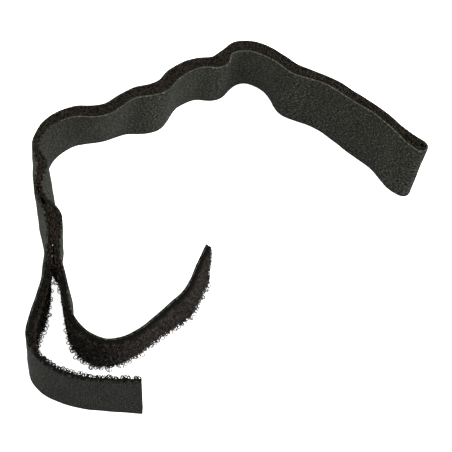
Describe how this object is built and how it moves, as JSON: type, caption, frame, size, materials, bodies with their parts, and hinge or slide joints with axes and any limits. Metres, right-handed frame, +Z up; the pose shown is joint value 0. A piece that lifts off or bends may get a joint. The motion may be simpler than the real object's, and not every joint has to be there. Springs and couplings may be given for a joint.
{
  "type": "esd wrist strap",
  "caption": "Black woven self-gripping wrist strap, folded double on its edge and mated pile to pile, with its two free ends peeled apart in open curls.",
  "frame": {"origin": "middle of the strap's plan outline, on the table it stands on", "axes": "+Z up across the tape's width, +X towards the folded end, -Y towards the two peeled tails"},
  "size_m": [0.1038, 0.1075, 0.02],
  "materials": {
    "backing": "charcoal grey woven nylon, matt, with a fine crepe texture and a paler selvedge line",
    "pile": "near-black uncut loop pile, soft and curly"
  },
  "bodies": {
    "band_middle": {"middle_front_backing": "backing", "middle_front_pile": "pile", "middle_rear_pile": "pile", "middle_rear_backing": "backing"},
    "fold_arm": {"fold_backing": "backing", "fold_pile": "pile", "arm_front_backing": "backing", "arm_front_pile": "pile", "arm_rear_pile": "pile", "arm_rear_backing": "backing"},
    "wrist_arm": {"wrist_front_backing": "backing", "wrist_front_pile": "pile", "wrist_rear_pile": "pile", "wrist_rear_backing": "backing"},
    "front_tail": {"front_tail_near_backing": "backing", "front_tail_near_pile": "pile"},
    "front_tail_tip": {"front_tail_end_backing": "backing", "front_tail_end_pile": "pile"},
    "rear_tail": {"rear_tail_near_backing": "backing", "rear_tail_near_pile": "pile"},
    "rear_tail_tip": {"rear_tail_end_backing": "backing", "rear_tail_end_pile": "pile"}
  },
  "joints": [
    {"name": "fold_arm_swing", "type": "hinge", "parent": "band_middle", "child": "fold_arm", "pos_m": [0.01305, 0.04645, 0.01], "axis": [0, 0, 1], "range_deg": [-30, 30]},
    {"name": "wrist_arm_swing", "type": "hinge", "parent": "band_middle", "child": "wrist_arm", "pos_m": [-0.0458, 0.0213, 0.01], "axis": [0, 0, 1], "range_deg": [-25, 30]},
    {"name": "front_tail_peel", "type": "hinge", "parent": "wrist_arm", "child": "front_tail", "pos_m": [-0.0416, -0.0175, 0.01], "axis": [0, 0, 1], "range_deg": [-4, 35]},
    {"name": "rear_tail_peel", "type": "hinge", "parent": "wrist_arm", "child": "rear_tail", "pos_m": [-0.0436, -0.0175, 0.01], "axis": [0, 0, 1], "range_deg": [-30, 4]},
    {"name": "front_tail_bend", "type": "hinge", "parent": "front_tail", "child": "front_tail_tip", "pos_m": [-0.01615, -0.0363, 0.01], "axis": [0, 0, 1], "range_deg": [-30, 40]},
    {"name": "rear_tail_bend", "type": "hinge", "parent": "rear_tail", "child": "rear_tail_tip", "pos_m": [-0.0337, -0.052, 0.01], "axis": [0, 0, 1], "range_deg": [-15, 30]}
  ]
}
